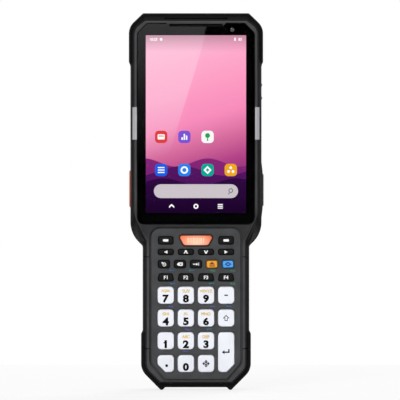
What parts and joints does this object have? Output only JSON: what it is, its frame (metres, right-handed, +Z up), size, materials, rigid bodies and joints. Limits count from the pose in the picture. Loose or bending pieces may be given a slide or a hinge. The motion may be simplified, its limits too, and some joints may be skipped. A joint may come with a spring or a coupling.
{
  "type": "portable barcode data terminal",
  "caption": "Rugged handheld data terminal with a touch screen head, keypad grip, side scan buttons, top scan window and a tilting battery pack.",
  "frame": {"origin": "middle of the footprint, on the surface that the two feet stand on", "axes": "+Z up along the terminal to the scan window, the screen and keypad face -Y, +X to the right of someone who looks at the screen"},
  "size_m": [0.0721, 0.034, 0.2015],
  "materials": {
    "housing": "fine texture",
    "back_shell": "fine texture",
    "guard_rubber": "matt",
    "steel": "satin",
    "cover_glass": "gloss",
    "display": "lit picture",
    "chassis": "satin",
    "board": "satin",
    "dark_plastic": "satin",
    "scan_lens": "gloss",
    "light_guide": "satin",
    "gold_contacts": "gloss",
    "insert_brass": "satin",
    "orange_button": "satin",
    "black_button": "satin",
    "lock_grey": "satin",
    "white_key": "gloss",
    "black_key": "satin",
    "scan_orange": "satin",
    "yellow_key": "satin",
    "blue_key": "satin"
  },
  "bodies": {
    "terminal": {"front_housing": "housing", "back_housing": "back_shell", "housing_seal": "guard_rubber", "housing_screws": "steel", "upper_guard": "guard_rubber", "lower_guard": "guard_rubber", "touch_glass": "cover_glass", "display_panel": "display", "chassis_frame": "chassis", "main_board": "board", "front_camera": "dark_plastic", "light_guides": "light_guide", "keypad_bezel": "housing", "keypad_rubber": "guard_rubber", "keypad_board": "board", "scan_window": "scan_lens", "scan_engine": "dark_plastic", "rear_camera": "dark_plastic", "speaker": "dark_plastic", "usb_port": "steel", "port_cover_pin": "steel", "contact_pins": "gold_contacts", "strap_inserts": "insert_brass"},
    "port_cover": {"port_cover": "guard_rubber"},
    "scan_button": {"scan_button": "orange_button"},
    "side_button": {"side_button": "black_button"},
    "volume_rocker": {"volume_rocker": "black_button"},
    "battery_pack": {"battery_pack": "back_shell"},
    "battery_lock": {"battery_lock": "lock_grey"},
    "soft_key_left": {"soft_key_left": "black_key"},
    "scan_key": {"scan_key": "scan_orange"},
    "soft_key_right": {"soft_key_right": "black_key"},
    "arrow_left_key": {"arrow_left_key": "black_key"},
    "arrow_up_key": {"arrow_up_key": "black_key"},
    "arrow_down_key": {"arrow_down_key": "black_key"},
    "arrow_right_key": {"arrow_right_key": "black_key"},
    "escape_key": {"escape_key": "black_key"},
    "backspace_key": {"backspace_key": "black_key"},
    "tab_key": {"tab_key": "black_key"},
    "alpha_key": {"alpha_key": "yellow_key"},
    "function_key": {"function_key": "blue_key"},
    "f1_key": {"f1_key": "black_key"},
    "f2_key": {"f2_key": "black_key"},
    "f3_key": {"f3_key": "black_key"},
    "f4_key": {"f4_key": "black_key"},
    "key_7": {"key_7": "white_key"},
    "key_8": {"key_8": "white_key"},
    "key_9": {"key_9": "white_key"},
    "minus_key": {"minus_key": "white_key"},
    "key_4": {"key_4": "white_key"},
    "key_5": {"key_5": "white_key"},
    "key_6": {"key_6": "white_key"},
    "shift_key": {"shift_key": "white_key"},
    "key_1": {"key_1": "white_key"},
    "key_2": {"key_2": "white_key"},
    "key_3": {"key_3": "white_key"},
    "enter_key": {"enter_key": "white_key"},
    "point_key": {"point_key": "white_key"},
    "key_0": {"key_0": "white_key"},
    "target_key": {"target_key": "white_key"}
  },
  "joints": [
    {"name": "scan_button_press", "type": "slide", "parent": "terminal", "child": "scan_button", "axis": [1, 0, 0], "range_m": [0, 0.0008], "stiffness_N_per_m": 1500, "springref_m": -0.0002},
    {"name": "side_button_press", "type": "slide", "parent": "terminal", "child": "side_button", "axis": [-1, 0, 0], "range_m": [0, 0.0008], "stiffness_N_per_m": 1500, "springref_m": -0.0002},
    {"name": "volume_rock", "type": "hinge", "parent": "terminal", "child": "volume_rocker", "pos_m": [0.03332, -0.005, 0.1597], "axis": [0, 1, 0], "range_deg": [-2.5, 2.5], "stiffness_Nm_per_rad": 0.2},
    {"name": "port_cover_swing", "type": "hinge", "parent": "terminal", "child": "port_cover", "pos_m": [-0.03407, -0.0007, 0.161], "axis": [0, 0, -1], "range_deg": [0, 95]},
    {"name": "battery_tilt", "type": "hinge", "parent": "terminal", "child": "battery_pack", "pos_m": [0, 0.006, 0.021], "axis": [-1, 0, 0], "range_deg": [0, 35]},
    {"name": "battery_lock_slide", "type": "slide", "parent": "terminal", "child": "battery_lock", "axis": [0, 0, -1], "range_m": [0, 0.004]},
    {"name": "soft_key_left_press", "type": "slide", "parent": "terminal", "child": "soft_key_left", "axis": [0, 1, 0], "range_m": [0, 0.0006], "stiffness_N_per_m": 1500, "springref_m": -0.0002},
    {"name": "scan_key_press", "type": "slide", "parent": "terminal", "child": "scan_key", "axis": [0, 1, 0], "range_m": [0, 0.0006], "stiffness_N_per_m": 1500, "springref_m": -0.0002},
    {"name": "soft_key_right_press", "type": "slide", "parent": "terminal", "child": "soft_key_right", "axis": [0, 1, 0], "range_m": [0, 0.0006], "stiffness_N_per_m": 1500, "springref_m": -0.0002},
    {"name": "arrow_left_key_press", "type": "slide", "parent": "terminal", "child": "arrow_left_key", "axis": [0, 1, 0], "range_m": [0, 0.0006], "stiffness_N_per_m": 1500, "springref_m": -0.0002},
    {"name": "arrow_up_key_press", "type": "slide", "parent": "terminal", "child": "arrow_up_key", "axis": [0, 1, 0], "range_m": [0, 0.0006], "stiffness_N_per_m": 1500, "springref_m": -0.0002},
    {"name": "arrow_down_key_press", "type": "slide", "parent": "terminal", "child": "arrow_down_key", "axis": [0, 1, 0], "range_m": [0, 0.0006], "stiffness_N_per_m": 1500, "springref_m": -0.0002},
    {"name": "arrow_right_key_press", "type": "slide", "parent": "terminal", "child": "arrow_right_key", "axis": [0, 1, 0], "range_m": [0, 0.0006], "stiffness_N_per_m": 1500, "springref_m": -0.0002},
    {"name": "escape_key_press", "type": "slide", "parent": "terminal", "child": "escape_key", "axis": [0, 1, 0], "range_m": [0, 0.0006], "stiffness_N_per_m": 1500, "springref_m": -0.0002},
    {"name": "backspace_key_press", "type": "slide", "parent": "terminal", "child": "backspace_key", "axis": [0, 1, 0], "range_m": [0, 0.0006], "stiffness_N_per_m": 1500, "springref_m": -0.0002},
    {"name": "tab_key_press", "type": "slide", "parent": "terminal", "child": "tab_key", "axis": [0, 1, 0], "range_m": [0, 0.0006], "stiffness_N_per_m": 1500, "springref_m": -0.0002},
    {"name": "alpha_key_press", "type": "slide", "parent": "terminal", "child": "alpha_key", "axis": [0, 1, 0], "range_m": [0, 0.0006], "stiffness_N_per_m": 1500, "springref_m": -0.0002},
    {"name": "function_key_press", "type": "slide", "parent": "terminal", "child": "function_key", "axis": [0, 1, 0], "range_m": [0, 0.0006], "stiffness_N_per_m": 1500, "springref_m": -0.0002},
    {"name": "f1_key_press", "type": "slide", "parent": "terminal", "child": "f1_key", "axis": [0, 1, 0], "range_m": [0, 0.0006], "stiffness_N_per_m": 1500, "springref_m": -0.0002},
    {"name": "f2_key_press", "type": "slide", "parent": "terminal", "child": "f2_key", "axis": [0, 1, 0], "range_m": [0, 0.0006], "stiffness_N_per_m": 1500, "springref_m": -0.0002},
    {"name": "f3_key_press", "type": "slide", "parent": "terminal", "child": "f3_key", "axis": [0, 1, 0], "range_m": [0, 0.0006], "stiffness_N_per_m": 1500, "springref_m": -0.0002},
    {"name": "f4_key_press", "type": "slide", "parent": "terminal", "child": "f4_key", "axis": [0, 1, 0], "range_m": [0, 0.0006], "stiffness_N_per_m": 1500, "springref_m": -0.0002},
    {"name": "key_7_press", "type": "slide", "parent": "terminal", "child": "key_7", "axis": [0, 1, 0], "range_m": [0, 0.0006], "stiffness_N_per_m": 1500, "springref_m": -0.0002},
    {"name": "key_8_press", "type": "slide", "parent": "terminal", "child": "key_8", "axis": [0, 1, 0], "range_m": [0, 0.0006], "stiffness_N_per_m": 1500, "springref_m": -0.0002},
    {"name": "key_9_press", "type": "slide", "parent": "terminal", "child": "key_9", "axis": [0, 1, 0], "range_m": [0, 0.0006], "stiffness_N_per_m": 1500, "springref_m": -0.0002},
    {"name": "minus_key_press", "type": "slide", "parent": "terminal", "child": "minus_key", "axis": [0, 1, 0], "range_m": [0, 0.0006], "stiffness_N_per_m": 1500, "springref_m": -0.0002},
    {"name": "key_4_press", "type": "slide", "parent": "terminal", "child": "key_4", "axis": [0, 1, 0], "range_m": [0, 0.0006], "stiffness_N_per_m": 1500, "springref_m": -0.0002},
    {"name": "key_5_press", "type": "slide", "parent": "terminal", "child": "key_5", "axis": [0, 1, 0], "range_m": [0, 0.0006], "stiffness_N_per_m": 1500, "springref_m": -0.0002},
    {"name": "key_6_press", "type": "slide", "parent": "terminal", "child": "key_6", "axis": [0, 1, 0], "range_m": [0, 0.0006], "stiffness_N_per_m": 1500, "springref_m": -0.0002},
    {"name": "shift_key_press", "type": "slide", "parent": "terminal", "child": "shift_key", "axis": [0, 1, 0], "range_m": [0, 0.0006], "stiffness_N_per_m": 1500, "springref_m": -0.0002},
    {"name": "key_1_press", "type": "slide", "parent": "terminal", "child": "key_1", "axis": [0, 1, 0], "range_m": [0, 0.0006], "stiffness_N_per_m": 1500, "springref_m": -0.0002},
    {"name": "key_2_press", "type": "slide", "parent": "terminal", "child": "key_2", "axis": [0, 1, 0], "range_m": [0, 0.0006], "stiffness_N_per_m": 1500, "springref_m": -0.0002},
    {"name": "key_3_press", "type": "slide", "parent": "terminal", "child": "key_3", "axis": [0, 1, 0], "range_m": [0, 0.0006], "stiffness_N_per_m": 1500, "springref_m": -0.0002},
    {"name": "enter_key_press", "type": "slide", "parent": "terminal", "child": "enter_key", "axis": [0, 1, 0], "range_m": [0, 0.0006], "stiffness_N_per_m": 1500, "springref_m": -0.0002},
    {"name": "point_key_press", "type": "slide", "parent": "terminal", "child": "point_key", "axis": [0, 1, 0], "range_m": [0, 0.0006], "stiffness_N_per_m": 1500, "springref_m": -0.0002},
    {"name": "key_0_press", "type": "slide", "parent": "terminal", "child": "key_0", "axis": [0, 1, 0], "range_m": [0, 0.0006], "stiffness_N_per_m": 1500, "springref_m": -0.0002},
    {"name": "target_key_press", "type": "slide", "parent": "terminal", "child": "target_key", "axis": [0, 1, 0], "range_m": [0, 0.0006], "stiffness_N_per_m": 1500, "springref_m": -0.0002}
  ]
}
